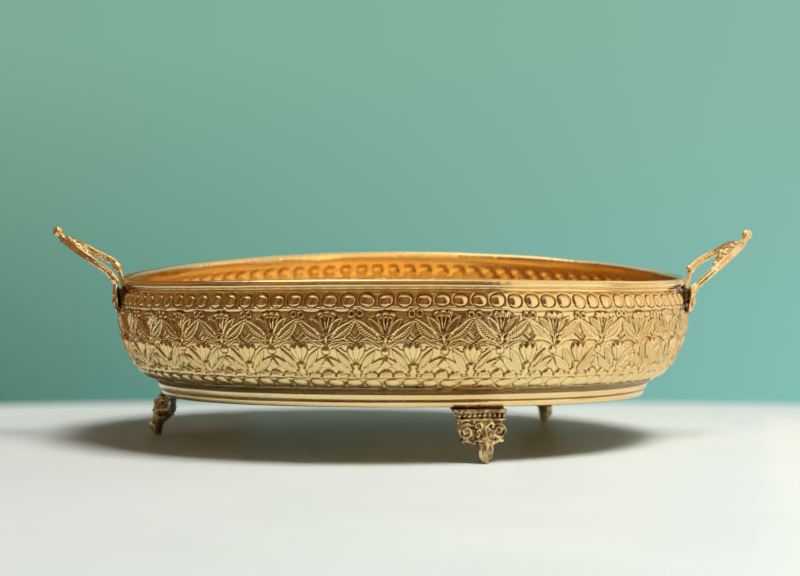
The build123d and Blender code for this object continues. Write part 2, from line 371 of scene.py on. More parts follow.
def lower_lotus(surface, u, v):
    """A flower of the lower row, under two long low brows that meet over its middle."""
    m = np.abs(u)
    behind = disc(m, v, (2.8, 15.4), 5.0, 2.8)
    surface = emboss(surface, behind, -0.66, line=0)
    shadow, along, across = leaf(m, v, (1.6, 14.6), (13.4, 13.4), 2.0, 3.0)
    surface = emboss(surface, shadow, -0.62 + hatch(across + 0.25 * along, 1.2, 0.19), line=0.1)
    brow, _, _ = leaf(m, v, (-0.6, 16.2), (15.2, 14.3), 1.45, 3.8)
    surface = framed(surface, brow, 0.12, rim=0.68, line=0.3)
    surface = comb_leaf(surface, m, v, (1.4, 0.8), (14.6, 10.4), 2.2, -0.9, -0.05)
    surface = hatched_leaf(surface, m, v, (1.9, 2.2), (10.2, 14.0), 2.0, -0.1, -0.2)
    petals = [(-19, 11.6, 1.7, 0.5), (19, 11.6, 1.7, 0.5), (0, 12.0, 1.8, 0.62)]
    surface = fan(surface, u, v, (0, 5.0), petals)
    for height, half_width in ((5.9, 2.0), (4.8, 1.7)):
        band = disc(u, v, (0, height), half_width, 0.66)
        surface = emboss(surface, band, puff(band, 0.7, 0.6), line=0.26)
    root, _, _ = leaf(u, v, (0, 5.2), (0, -2.4), 1.9)
    return emboss(surface, root, puff(root, 0.5, 1.4))


def lower_gap(surface, u, v):
    """Between two flowers of the lower row: hills on the line, a small house-shaped bud and a round seed."""
    m = np.abs(u)
    for centre, half_width, half_height in (((7.4, -1.2), 3.3, 3.5), ((0, -1.2), 3.5, 4.1)):
        hill = disc(m, v, centre, half_width, half_height)
        surface = framed(surface, hill, 0.22, rim=0.62, width=0.5, line=0.4)
    eaves = 5.5
    reach = np.where(v > eaves, (v - eaves) / 4.0, (eaves - v) / 1.8)
    bud = (1 - m / 3.2 - reach) * 2.4
    surface = framed(surface, bud, 0.1 + hatch(u + v, 1.25, 0.14), rim=0.5, line=0.42)
    stalk = np.where(np.abs(v - 10.6) < 1.6, np.abs(m - 1.3), 9)
    surface = ridge(surface, stalk, 0.35, 0.45)
    seed = disc(u, v, (0, 13.2), 2.0, 1.9)
    return emboss(surface, seed, dome(seed, 0.6, 1.9), line=0.42)


def repeated(bearing, up, count, first, draw, sway=0.5):
    """Runs a motif round the bowl. Each copy is shifted, leant and stretched a little, as hand work is.

    draw(surface, u, v) is called once with the millimetres across and up from each point's nearest copy.
    """
    pitch = 360 / count
    turns = np.mod((bearing - first) / pitch + 0.5, count)
    copy = np.floor(turns).astype(int) % count
    u = (turns - np.floor(turns) - 0.5) * math.radians(pitch) * BELLY_RADIUS
    shift = random.uniform(-sway, sway, count)[copy]
    raise_by = random.uniform(-0.25, 0.25, count)[copy]
    lean = random.uniform(-0.05, 0.05, count)[copy]
    stretch = 1 + random.uniform(-0.035, 0.035, count)[copy]
    edge = math.radians(pitch) * BELLY_RADIUS / 2
    hold = 1 - smooth_step(0.72, 1.0, np.abs(u) / edge)
    u = u + (shift + lean * up) * hold
    v = (up + raise_by) * stretch
    return draw(u, v)


def chased_wall(bearing, height, length):
    """How far the wall stands out from the smooth sheet, for each point of the wall.

    height is the level on the smooth sheet, and length is the distance up along the sheet's curve.
    """
    def level(z):
        return np.interp(z, height, length)

    def wander(strength, around, upward):
        return waves(bearing[None, :], length[:, None] / WALL_LENGTH, strength, around, upward)

    along = length[:, None] + wander(0.16, 70, 5)
    turn = bearing[None, :] + wander(0.06, 70, 5)
    wall = GROUND + hatch(along + 1.2 * np.radians(turn) * BELLY_RADIUS, 1.35, 0.06)

    first_lower = FIRST_UPPER_BEARING + 180 / MOTIF_COUNT
    up = along - level(LOWER_BASE)
    wall = repeated(turn, up, MOTIF_COUNT, first_lower, lambda u, v: lower_lotus(wall, u, v))
    wall = repeated(turn, up, MOTIF_COUNT, FIRST_UPPER_BEARING, lambda u, v: lower_gap(wall, u, v), sway=0.3)
    up = along - level(UPPER_BASE)
    wall = repeated(turn, up, MOTIF_COUNT, first_lower, lambda u, v: upper_gap(wall, u, v), sway=0.3)
    wall = repeated(turn, up, MOTIF_COUNT, FIRST_UPPER_BEARING, lambda u, v: upper_lotus(wall, u, v))

    # Above the upper line and below the lower one the sheet is plain, and its own rows are laid on it.
    above = smooth_step(-0.5, 0.5, along - level(UPPER_LINE))
    below = smooth_step(0.5, -0.5, along - level(LOWER_LINE))
    wall = wall * (1 - (above + below))

    def boss(u, v):
        size = disc(u, v, (0, 0), BOSS_RADIUS, 0.94 * BOSS_RADIUS)
        return emboss(wall, size, dome(size, 1.05, BOSS_RADIUS), line=0.55)

    def oval(u, v):
        size = disc(u, v, (0, -0.2), 4.2, 3.7)
        sharp = smooth_step(-3.2, 0.5, v) * smooth_step(5.6, -1.0, u)
        return emboss(wall, size, dome(size, 0.7, 3.6), line=0.14 + 0.5 * sharp)

    wall = repeated(turn, along - level(BOSS_HEIGHT), BOSS_COUNT, FIRST_BOSS_BEARING, boss, sway=0.25)
    wall = repeated(turn, along - level(OVAL_HEIGHT), OVAL_COUNT, FIRST_OVAL_BEARING, oval, sway=0.3)
    for line, strength in ((UPPER_LINE, 0.52), (LOWER_LINE, 0.45)):
        away = along - level(line)
        wall += strength * np.exp(-((away / 0.62) ** 2))
        wall -= 0.18 * np.exp(-(((np.abs(away) - 1.35) / 0.4) ** 2))

    edges = smooth_step(level(84.9), level(84.0), along) * smooth_step(level(37.6), level(38.6), along)
    dents = wander(0.10, 34, 2.0)
    return wall * edges + dents * smooth_step(level(36.2), level(39.5), along)


# ---------------------------------------------------------------- bowl shell

FLANK_CENTRE = np.array([BELLY_RADIUS - FLANK_CURVE, BELLY_HEIGHT])
CORNER_CENTRE = polar(FLANK_CENTRE, FLANK_CURVE - CORNER_CURVE, FLANK_START)
SHOULDER_CENTRE = polar(FLANK_CENTRE, FLANK_CURVE - SHOULDER_CURVE, FLANK_END)
COVE_CENTRE = polar(SHOULDER_CENTRE, SHOULDER_CURVE + COVE_CURVE, SHOULDER_END)
PAD_BEARINGS = (-PAD_BEARING, PAD_BEARING, 180 - PAD_BEARING, 180 + PAD_BEARING)
CURL_SEAM = 17
# The rows under and inside the rolled edge get this much painted shade.
CURL_SHADE = 0.25
CURL_UNDERSIDE_ROWS = 32


def wall_section(depth):
    """Points up the wall from the floor's edge to the neck, at a depth below the sheet's outer face."""
    return np.concatenate([
        arc(CORNER_CENTRE, CORNER_CURVE - depth, -90, FLANK_START),
        arc(FLANK_CENTRE, FLANK_CURVE - depth, FLANK_START, FLANK_END)[1:],
        arc(SHOULDER_CENTRE, SHOULDER_CURVE - depth, FLANK_END, SHOULDER_END)[1:],
        arc(COVE_CENTRE, COVE_CURVE + depth, SHOULDER_END + 180, 180)[1:],
    ])


def along_section(section):
    """The length along a section to each of its points."""
    steps = np.hypot(*np.diff(section, axis=0).T)
    return np.concatenate([[0], np.cumsum(steps)])


def floor_rows(depth, columns):
    """Rows across the flat floor, from near its centre to its edge."""
    radii = np.array([3, 10, 22, 38, 56, 74, 90, 102, 110, 115.5])
    height = FLOOR_UNDERSIDE + depth
    rows = []
    for radius in radii:
        count = columns if radius > 80 else columns // 2 if radius > 30 else columns // 4
        rows.append(spun_row(radius, height, count))
    return rows


def curl_rows(columns):
    """The rim's rolled edge: from the neck round the outside of the roll, with its slit left open below."""
    hole = WIRE_RADIUS + 0.05
    bottom = polar(CURL_CENTRE, CURL_RADIUS, np.linspace(-122, -75, 6))
    inside = polar(CURL_CENTRE, hole, np.linspace(-75, -410, 26))
    angles = np.concatenate([np.linspace(-50, 6, 10), np.linspace(9, 25, 12), np.linspace(29, 178, 24)])
    outside = polar(CURL_CENTRE, CURL_RADIUS, angles)
    seam = 0.34 * np.exp(-(((angles - CURL_SEAM) / 5.0) ** 2))
    outside -= seam[:, None] * (outside - CURL_CENTRE) / CURL_RADIUS
    bearing = np.arange(columns) * 360 / columns
    wobble = waves(bearing, 0, 0.09, 40, 0)
    dent = waves(bearing, 0, 0.035, 260, 0, count=30)
    rows = []
    for r, z in np.concatenate([bottom, inside, outside]):
        rows.append(spun_row(r + wobble + dent * (z > WIRE_HEIGHT), z + 0.6 * wobble, columns))
    return rows


def outward(radius, height):
    """The unit normals of a section that runs up the wall, facing out of the bowl."""
    slope = np.gradient(np.stack([radius, height], axis=1), axis=0)
    slope /= np.hypot(*slope.T)[:, None]
    return np.stack([slope[:, 1], -slope[:, 0]], axis=1)


def wall_film_and_shade(wall, bearing, height):
    """The darkness at each point of the wall: a dark film in chased lines, and painted shade behind the pads.
    """
    film = smooth_step(UPPER_BASE - 4, UPPER_BASE + 2, height) * 0.5 + 0.5
    hollow = np.clip((blurred(wall, 16) - wall) / 0.3 * film[:, None], 0, 1)
    # Painted shade: the wall behind each pad is painted fully dark.
    for pad_bearing in PAD_BEARINGS:
        away = np.abs((bearing - pad_bearing + 180) % 360 - 180)
        behind = smooth_step(6.0, 2.5, away)[None, :] * smooth_step(73, 79, height)[:, None]
        hollow = np.maximum(hollow, behind)
    return hollow


def inner_wall_rows(wall, bearing, first_station, outer_end):
    """Rows down the inside of the wall, with the back of the pattern, softened by the sheet's thickness."""
    inner = wall_section(SHEET)
    length = along_section(inner)
    outer_length = np.linspace(0, outer_end, len(inner))
    back = blurred(wall, 9)[:, ::2] * 0.85
    reach = 0.3
    rows = []
    for station in np.arange(length[-1], 0, -0.9):
        r, z = (np.interp(station, length, inner[:, k]) for k in (0, 1))
        above = np.array([np.interp(station + reach, length, inner[:, k]) for k in (0, 1)])
        below = np.array([np.interp(station - reach, length, inner[:, k]) for k in (0, 1)])
        run, rise = (above - below) / np.hypot(*(above - below))
        at = (np.interp(station, length, outer_length) - first_station) / WALL_STEP
        if at < 0:
            out = waves(bearing[::2], station / WALL_LENGTH, 0.05, 30, 1.0)
        else:
            low = min(int(at), len(back) - 2)
            share = min(at - low, 1)
            out = back[low] * (1 - share) + back[low + 1] * share
        rows.append(spun_row(r + out * rise, z - out * run, WALL_COLUMNS // 2))
    return rows


def bowl_shell():
    """The whole sheet as one skin: its underside, up the outside, round the rim and down the inside."""
    outer = wall_section(0)
    length = along_section(outer)
    stations = np.arange(np.interp(RING_TOP - 0.6, outer[:, 1], length), length[-1], WALL_STEP)
    radius = np.interp(stations, length, outer[:, 0])
    height = np.interp(stations, length, outer[:, 1])
    normal = outward(radius, height)
    bearing = np.arange(WALL_COLUMNS) * 360 / WALL_COLUMNS
    wall = chased_wall(bearing, height, stations)
    hollow = wall_film_and_shade(wall, bearing, height)
    half = WALL_COLUMNS // 2

    skin = [(row, 0) for row in floor_rows(0, WALL_COLUMNS // 4)]
    corner = arc(CORNER_CENTRE, CORNER_CURVE, -88, -66, step=2.5)
    skin += [(spun_row(r, z, half), 0) for r, z in corner if z < RING_TOP - 1.2]
    for r, z, (out_r, out_z), out, shade in zip(radius, height, normal, wall, hollow):
        skin.append((spun_row(r + out * out_r, z + out * out_z, WALL_COLUMNS), shade))
    # Painted shade on the rows under and inside the rolled edge.
    for k, row in enumerate(curl_rows(half)):
        skin.append((row, CURL_SHADE if k < CURL_UNDERSIDE_ROWS else 0))
    skin += [(row, 0) for row in inner_wall_rows(wall, bearing, stations[0], length[-1])]
    skin += [(row, 0) for row in reversed(floor_rows(SHEET, half))]

    shades = [np.broadcast_to(shade, len(row)) for row, shade in skin]
    rows = [dipped(row) for row, _ in skin]
    return new_mesh("bowl_shell_chased", *skinned(rows), np.concatenate(shades + [np.zeros(2)]))


# ---------------------------------------------------------------- castings: bars and balls fused together

OUTWARD = (1, 0, 0)
SIDEWAYS = (0, 1, 0)
UPWARD = (0, 0, 1)
BEAD_RINGS = 8


def curve_through(points, count):
    """A smooth curve through a few points, which may carry widths as further columns."""
    p = np.asarray(points, float)
    p = np.concatenate([[2 * p[0] - p[1]], p, [2 * p[-1] - p[-2]]])
    t = np.linspace(0, len(p) - 3, count)
    k = np.minimum(t.astype(int), len(p) - 4)
    f = (t - k)[:, None]
    a, b, c, d = p[k], p[k + 1], p[k + 2], p[k + 3]
    return (2 * b + (c - a) * f + (2 * a - 5 * b + 4 * c - d) * f**2 + (3 * b - a - 3 * c + d) * f**3) / 2


def bar(points, up=UPWARD, count=26, sides=14):
    """A bent bar through points (x, y, z, half-width) or (x, y, z, half-width, half-height towards up)."""
    line = curve_through(points, count)
    path = line[:, :3]
    half = np.maximum(line[:, [3, -1]], 0.04)
    ahead = np.gradient(path, axis=0)
    side = np.cross(up, ahead)
    side /= np.linalg.norm(side, axis=1)[:, None]
    top = np.cross(ahead, side)
    top /= np.linalg.norm(top, axis=1)[:, None]
    angle = np.linspace(0, 2 * np.pi, sides, endpoint=False)[:, None]
    rows = []
    for k in range(count):
        rows.append(path[k] + half[k, 0] * np.cos(angle) * side[k] + half[k, 1] * np.sin(angle) * top[k])
    return skinned(rows)


def ball(centre, radii, rings=12):
    """A ball, or an ellipsoid along the three axes."""
    radii = np.broadcast_to(radii, 3)
    rows = []
    for lean in np.linspace(-np.pi / 2, np.pi / 2, rings + 2)[1:-1]:
        row = spun_row(math.cos(lean), math.sin(lean), 2 * rings)
        rows.append(np.array(centre) + row * radii)
    return skinned(rows)


def bead(centre, radii):
    """A small ball."""
    return ball(centre, radii, BEAD_RINGS)


def block(low, high):
    """A box between two corners."""
    (x, y, z), (u, v, w) = low, high
    rows = [np.array([[x, y, h], [u, y, h], [u, v, h], [x, v, h]], float) for h in (z, w)]
    return skinned(rows)


def mirrored(solids):
    """Solids and their mirror images across the plane y = 0."""
    return solids + [(points * (1, -1, 1), [f[:, ::-1] for f in faces]) for points, faces in solids]


SPREAD_PASSES = 36


def neighbour_mean(values, pairs):
    """For each point, the mean of a value over the points that share an edge with it."""
    a, b = pairs.T
    size = len(values)
    count = np.bincount(a, minlength=size) + np.bincount(b, minlength=size)
    total = np.zeros_like(values)
    for axis in range(values.shape[1]):
        total[:, axis] = np.bincount(a, values[b, axis], size) + np.bincount(b, values[a, axis], size)
    return total / np.maximum(count, 1)[:, None]


def uneven(points, strength, wavelength, count=10):
    """The slight unevenness of a sand casting, as a length for each point."""
    total = np.zeros(len(points))
    for _ in range(count):
        direction = random.normal(size=3)
        direction *= 2 * np.pi / (wavelength * np.linalg.norm(direction) * random.uniform(0.7, 1.6))
        total += np.sin(points @ direction + random.uniform(0, 2 * np.pi))
    return strength * total / math.sqrt(count / 2)


def numbers(items, name, width, kind):
    """One property of a mesh's points, edges or corners, as rows of so many numbers."""
    values = np.zeros(len(items) * width, kind)
    items.foreach_get(name, values)
    return values.reshape(-1, width)


def cast(solids, voxel, softening, hollow_depth, rough=0.05):
    """Fuses solids into one soft skin. Returns its points, its faces, and how hollow each point lies."""
    points, faces = joined(solids)
    rough_cast = new_mesh("rough_cast", points / MM, faces)
    fuse = rough_cast.modifiers.new("fuse", "REMESH")
    fuse.mode = "VOXEL"
    fuse.voxel_size = voxel
    skin = bpy.data.meshes.new_from_object(rough_cast.evaluated_get(bpy.context.evaluated_depsgraph_get()))
    bpy.data.objects.remove(rough_cast)
    co = numbers(skin.vertices, "co", 3, np.float32).astype(float)
    pairs = numbers(skin.edges, "vertices", 2, np.int32)
    quads = numbers(skin.loops, "vertex_index", 1, np.int32).reshape(-1, 4)
    bpy.data.meshes.remove(skin)

    for _ in range(softening):
        co += 0.5 * (neighbour_mean(co, pairs) - co)
    normal = vertex_normals(co, quads)
    co += normal * uneven(co, rough, 3.0)[:, None]
    spread = co
    for _ in range(SPREAD_PASSES):
        spread = spread + 0.7 * (neighbour_mean(spread, pairs) - spread)
    hollow = np.einsum("ij,ij->i", spread - co, normal) / hollow_depth
    return co, quads, np.clip(hollow, 0, 1)


def vertex_normals(points, quads):
    a, b, c, d = (points[quads[:, k]] for k in range(4))
    face = np.cross(c - a, d - b)
    normal = np.zeros_like(points)
    for k in range(4):
        for axis in range(3):
            normal[:, axis] += np.bincount(quads[:, k], face[:, axis], len(points))
    return normal / np.maximum(np.linalg.norm(normal, axis=1), 1e-9)[:, None]


def turned(points, bearing):
    """Points turned about the bowl's axis, from bearing 0."""
    c, s = math.cos(math.radians(bearing)), math.sin(math.radians(bearing))
    return points @ np.array([[c, s, 0], [-s, c, 0], [0, 0, 1]])


# ---------------------------------------------------------------- feet

# A foot is drawn at bearing 0: x runs outward from the bowl, y along the ring and z up.
# Inside FOOT_FRONT and above FOOT_NECK the foot is painted dark, as painted shade.
FOOT_FRONT = 127.3
FOOT_NECK = 27.3
PLATE_BOTTOM = 26.1


def spiral(centre, start_radius, end_radius, start, end, bulge, count=20):
    """Points of a scroll that winds in round a centre and rises outward from the bowl."""
    t = np.linspace(0, 1, count)
    radius = start_radius + (end_radius - start_radius) * t
    angle = np.radians(start + (end - start) * t)
    x = centre[0] + bulge * t**1.5
    return np.stack([x, centre[1] + radius * np.cos(angle), centre[2] + radius * np.sin(angle)], axis=1)


def with_width(path, start, end):
    """A path with a half-width that runs from start to end."""
    return np.column_stack([path, np.linspace(start, end, len(path))])


def across_row(edge, z):
    """A closed level outline that is the same on both sides of y = 0, from (x, y) points along one side."""
    return np.array([(x, -y, z) for x, y in edge] + [(x, y, z) for x, y in reversed(edge)], float)


def tapered_plate():
    """The plate riveted to the ring's flange: as wide as the foot in front, and narrower further in."""
    edge = [(111.0, 8.4), (114.0, 10.8), (126.0, 13.6)]
    return skinned([across_row(edge, z) for z in (PLATE_BOTTOM, RING_BOTTOM)])


def core_block():
    """The solid middle of the foot behind its scrolls, narrower at the back and below."""
    rows = []
    for z, shrink in ((12.6, 1.6), (14.0, 0.4), (22.0, 0.0)):
        edge = [(126.6 + shrink, 4.4 - shrink), (128.6, 9.0 - shrink), (132.2, 11.0 - shrink)]
        rows.append(across_row(edge, z))
    return skinned(rows)


def foot_capital():
    """The foot's upper part: the plate under the ring, the pearl band, the fillet and the core block."""
    solids = [
        tapered_plate(),
        block((125.5, -13.8, 25.9), (131.3, 13.8, 27.2)),
        block((127.4, -12.4, 22.6), (131.4, 12.4, 26.2)),
        block((127.2, -12.7, 21.6), (132.4, 12.7, 22.6)),
        core_block(),
    ]
    for y in np.linspace(-11.9, 11.9, 10):
        solids.append(bead((131.8, y, 24.2), (1.2, 1.1, 1.25)))
    for x in (128.2, 130.4):
        for y in (-12.5, 12.5):
            solids.append(bead((x, y, 24.2), (1.2, 1.1, 1.3)))
    return solids


def foot_scroll():
    """The scroll at one side of the foot, a coiled bar round a button, with a curled leaf below it."""
    centre = (132.4, 8.7, 16.1)
    coil = spiral(centre, 4.0, 1.8, 150, -330, 2.6, count=30)
    rise = [(132.2, 4.2, 21.3, 0.9), (133.0, 5.0, 19.6, 0.95), (132.6, 5.3, 18.3, 0.9)]
    return [
        bar(with_width(coil, 1.0, 0.7), up=OUTWARD, count=60),
        bar(rise, up=OUTWARD),
        ball((130.6, 8.9, 16.4), (2.9, 3.9, 4.2)),
        bead((135.2, 8.9, 16.2), (1.6, 0.95, 0.95)),
        bead((132.6, 8.6, 11.6), (1.7, 2.2, 1.3)),
        bead((133.9, 7.0, 10.8), (0.9, 0.9, 0.9)),
        bar([(129.5, 10.2, 11.4, 0.9), (132.4, 10.9, 11.4, 0.9), (133.6, 9.6, 10.9, 0.7)], up=UPWARD),
        bar([(129.2, 10.2, 13.0, 0.8), (129.0, 11.4, 21.0, 0.8)], up=OUTWARD, count=8),
    ]


def foot_face():
    """Half of the small ram-like face in the foot's middle: horn, brow, eye, cheek, side fold and lobe."""
    horn = [
        (135.4, 0.9, 17.6, 0.8), (136.6, 1.5, 19.6, 0.95), (136.8, 3.0, 20.9, 0.95),
        (136.3, 4.6, 20.2, 0.85), (136.2, 4.6, 18.7, 0.7), (136.6, 3.6, 18.4, 0.5),
    ]
    return [
        bar(horn, up=OUTWARD, count=40),
        bar([(136.2, 0.8, 18.0, 0.5), (136.9, 2.2, 17.9, 0.62), (135.5, 4.0, 16.4, 0.5)], up=OUTWARD),
        bead((136.5, 2.1, 16.7), (0.8, 0.9, 0.7)),
        bead((134.9, 3.0, 14.4), (2.3, 1.8, 1.9)),
        bar([(134.0, 4.6, 17.4, 0.5), (134.2, 5.5, 15.0, 0.8), (134.6, 5.2, 12.4, 0.5)], up=OUTWARD),
        bead((134.6, 4.9, 10.4), (1.35, 1.45, 1.45)),
        bar([(133.4, 4.3, 12.6, 0.8), (134.4, 4.9, 10.6, 0.8)], up=OUTWARD, count=8),
    ]


def foot_leg():
    """The leg: a thick tapering tongue that swells forward and ends in a small flat toe, with three lobes."""
    trunk = [
        (131.0, 0, 16.0, 4.6, 4.4), (132.6, 0, 12.4, 3.9, 4.0), (135.2, 0, 9.8, 3.5, 3.6),
        (136.3, 0, 6.5, 3.2, 3.6), (136.3, 0, 3.6, 2.9, 3.0), (136.0, 0, 1.4, 2.3, 2.2),
        (135.9, 0, -0.6, 1.5, 1.6),
    ]
    chin = [
        (134.6, -4.0, 11.7, 0.7), (137.0, -2.0, 11.9, 0.9), (137.4, 0, 11.8, 0.95),
        (137.0, 2.0, 11.9, 0.9), (134.6, 4.0, 11.7, 0.7),
    ]
    middle_lobe = [(136.9, 0, 11.0, 0.8), (139.4, 0, 8.0, 1.05), (139.2, 0, 4.6, 1.05), (138.0, 0, 1.8, 0.9)]
    side_lobe = [
        (136.4, 2.5, 11.0, 0.8), (138.4, 2.9, 8.0, 1.05), (138.2, 2.7, 4.8, 1.1), (137.3, 2.1, 2.4, 0.95),
    ]
    solids = [
        bar(trunk, up=OUTWARD, count=40, sides=28),
        ball((132.9, 0, 16.4), (4.1, 3.7, 5.0)),
        bar([(136.3, 0, 19.2, 0.7), (137.2, 0, 16.8, 1.0), (138.0, 0, 14.2, 1.35)], up=SIDEWAYS),
        bead((137.5, 0, 13.3), (1.4, 2.1, 1.0)),
        bar(chin, up=UPWARD),
        bar(middle_lobe, up=SIDEWAYS),
    ]
    return solids + mirrored([bar(side_lobe, up=SIDEWAYS)])


def foot(name, bearing, model):
    """One foot from the common casting, turned to its bearing. Its toe is worn flat where it stands."""
    points, quads, hollow = model
    # Painted shade: the foot's inner side and its neck under the ring are painted fully dark.
    inner_side = points[:, 0] < FOOT_FRONT
    neck = points[:, 2] > FOOT_NECK
    hollow = np.where(inner_side | neck, 1.0, hollow)
    points = turned(points, bearing)
    points[:, 2] = np.clip(points[:, 2], 0, RING_BOTTOM)
    return new_mesh(name, dipped(points), [quads], hollow)


# ---------------------------------------------------------------- handles

def loop_frame(slope):
    """The handle's sloping plane: its direction up the slope, and its normal, which faces up and in."""
    slope = math.radians(slope)
    return np.array([math.cos(slope), 0, math.sin(slope)]), np.array([-math.sin(slope), 0, math.cos(slope)])


def loop_bar(path, normal):
    """A bar with a groove along its side: two round ribs, one above the other, and a core between them."""
    path = np.array(path, float)
    solids = []
    for offset, radius in ((-0.98, 0.95), (0.9, 1.0)):
        rib = path + offset * normal
        solids.append(bar(with_width(rib, radius, radius), up=normal, count=60))
    solids.append(bar(with_width(path, 0.75, 0.75), up=normal, count=60))
    return solids


def openwork(crown, slope):
    """The flower and scrolls that fill the loop's outer half, set back from the crown down the slope."""
    along, normal = loop_frame(slope)

    def at(back, across, raised=0.0):
        """A point so far back from the crown, sideways, and above the loop's plane."""
        return crown - along * back + np.array([0, across, 0]) + normal * raised

    def strip(points, up=normal, count=26):
        """A bar from (back, across, raised, half-width, half-height)."""
        return bar([(*at(*p[:3]), *p[3:]) for p in points], up=up, count=count)

    heart = 11.6
    solids = [strip([(heart - 4.6, 0, 0.4, 0.4), (heart, 0, 1.6, 3.4), (heart + 4.6, 0, 0.4, 0.4)])]
    for k in range(7):
        turn = k * 2 * math.pi / 7
        petal = [(heart + r * math.cos(turn), r * math.sin(turn), h, w, 1.0)
                 for r, h, w in ((1.0, 2.4, 0.8), (3.1, 3.0, 1.6), (5.2, 1.2, 0.5))]
        solids.append(strip(petal, count=12))
    berries = [(heart, 3.6, 1.8), (5.4, 2.0, 1.8), (2.4, 1.9, 1.5), (18.2, 0.8, 1.6)]
    for back, raised, radius in berries:
        solids.append(bead(at(back, 0, raised), radius))
    outer_leaf = [
        (14.0, 2.8, 0.5, 0.7, 0.8), (14.8, 9.0, 1.6, 2.3, 1.0),
        (13.8, 16.0, 0.9, 1.7, 0.9), (11.4, 22.8, 0, 0.6, 0.6),
    ]
    inner_leaf = [
        (9.0, 3.4, 0.5, 0.7, 0.8), (7.0, 8.2, 1.7, 2.1, 1.0),
        (6.2, 12.4, 0.6, 0.8, 0.7), (6.6, 17.2, 0, 0.6, 0.6),
    ]
    outer_scroll = [
        (16.4, 1.2, 0.5, 0.9), (18.6, 4.2, 0.6, 1.0), (18.0, 8.6, 0.5, 1.0), (15.8, 10.4, 0.6, 0.9),
    ]
    inner_scroll = [(2.6, 1.6, 0.6, 0.9), (1.8, 4.2, 0.9, 1.0), (3.2, 6.2, 1.2, 1.0), (4.2, 4.4, 1.4, 0.8)]
    half = [
        strip(outer_leaf),
        strip(inner_leaf),
        strip(outer_scroll, count=40),
        strip(inner_scroll, count=40),
        bead(at(10.6, 8.4, 2.0), 1.7),
        bead(at(13.0, 12.8, 1.9), 1.5),
        bead(at(4.6, 9.4, 1.2), 1.5),
        bead(at(8.4, 14.6, 1.3), 1.4),
    ]
    return solids + mirrored(half)


def bud(crown, bud_centre):
    """The closed bud at the tip: a small ball on the loop, a narrow neck, and the plump bud."""
    length = np.linalg.norm(bud_centre - crown)
    knob = [(-1.9, 1.2), (-0.8, 1.9), (0.3, 2.2), (1.3, 1.9)]
    bulb = [(-2.3, 1.8), (-1.4, 2.5), (0, 2.8), (1.4, 2.2), (2.3, 1.0)]
    shape = knob + [(length + s, r) for s, r in bulb]
    ahead = (bud_centre - crown) / length
    return [bar([(*(crown + ahead * s), r) for s, r in shape], up=SIDEWAYS, count=50, sides=18)]


def pad(bearing, inset):
    """The leaf-shaped strap under one end of the loop. It stands off the neck and meets the wall below."""
    strap = [
        (155.9, 0, 87.6, 2.0, 1.5), (155.7, 0, 84.6, 3.4, 1.35), (155.3, 0, 81.2, 4.3, 1.3),
        (154.8, 0, 77.6, 3.4, 1.25), (154.2, 0, 74.6, 1.8, 1.1), (153.4, 0, 72.6, 0.7, 0.8),
    ]
    rib = [(157.0, 0, 87.0, 0.55), (157.2, 0, 83.0, 0.5), (156.9, 0, 81.6, 0.4)]
    solids = [
        bar(strap, up=OUTWARD, count=34, sides=20),
        bar(rib, up=SIDEWAYS),
        block((150.7, -1.8, 78.0), (155.2, 1.8, 85.8)),
        bar([(156.7, 0, 77.0, 0.4), (156.2, 0, 75.2, 0.5), (155.3, 0, 73.4, 0.35)], up=SIDEWAYS),
    ]
    rim = [
        (156.3, 2.6, 86.4, 0.5), (156.0, 4.0, 82.4, 0.5), (155.5, 3.7, 79.0, 0.5), (154.8, 1.9, 75.4, 0.45),
    ]
    solids += mirrored([bar(rim, up=OUTWARD)])
    return [(turned(points - (inset, 0, 0), bearing), faces) for points, faces in solids]


# Inside STRAP_BACK and below STRAP_TOP the handle is painted dark, as painted shade.
STRAP_BACK = 154.4
STRAP_TOP = 87.0


def handle(name, middle, slope, inset, near, far, crown, bud_centre, near_side):
    """One cast handle, drawn as if at bearing 0, then turned to its middle bearing.

    near and far are the loop's two legs, each from its pad up to near the crown, with y taken as positive;
    near_side is the sign of y on the side of the near leg; inset is how far the pads are pressed to the wall.
    """
    crown = np.array(crown, float)
    ahead, normal = loop_frame(slope)
    solids = openwork(crown, slope) + bud(crown, np.array(bud_centre, float))
    near = np.array(near) * (1, near_side, 1)
    far = np.array(far) * (1, -near_side, 1)
    solids += loop_bar([*near, crown], normal) + loop_bar([*far[1:], crown], normal)
    near_foot, near_bend = near[:2]
    far_foot, far_bend = far[:2]
    under_near = near_foot - (1.6, 0, 2.6)
    under_far = far_foot - (1.2, 0, 3.6)
    solids += [
        bar([(*under_near, 1.7), (*near_foot, 2.1), (*(near_foot + near_bend) / 2, 1.5)], count=12),
        bar([(*under_far, 1.4), (*far_foot, 1.15), (*far_bend, 1.5)], count=12),
        bar([(*(far_bend - ahead * 2.2), 1.0), (*far_bend, 2.6), (*(far_bend + ahead * 2.4), 1.3)], count=16),
    ]
    for side in (-1, 1):
        solids += pad(side * PAD_BEARING, inset)
    points, quads, hollow = cast(solids, 0.24, 3, 0.5)
    # Painted shade: the strap's back and the lug behind it are painted fully dark.
    shaded_behind_strap = (np.hypot(points[:, 0], points[:, 1]) < STRAP_BACK) & (points[:, 2] < STRAP_TOP)
    hollow = np.where(shaded_behind_strap, 1.0, hollow)
    return new_mesh(name, dipped(turned(points, middle)), [quads], hollow)


# ---------------------------------------------------------------- ring, wire and rivets

RING_COLUMNS = 1440
WIRE_COLUMNS = 720
FLANGE_EDGE = 107.0
FLANGE_TOP = 29.7
RING_INSIDE = 125.9
BAND_GROOVE = 31.8
HANDLE_RIVET_HEIGHT = 79.0
HANDLE_SHANK = 1.45
PAD_FACE = 156.35
WALL_FACE_INSIDE = 151.0
FOOT_RIVET_PLACE = (117.0, 8.0)
FOOT_SHANK = 1.55


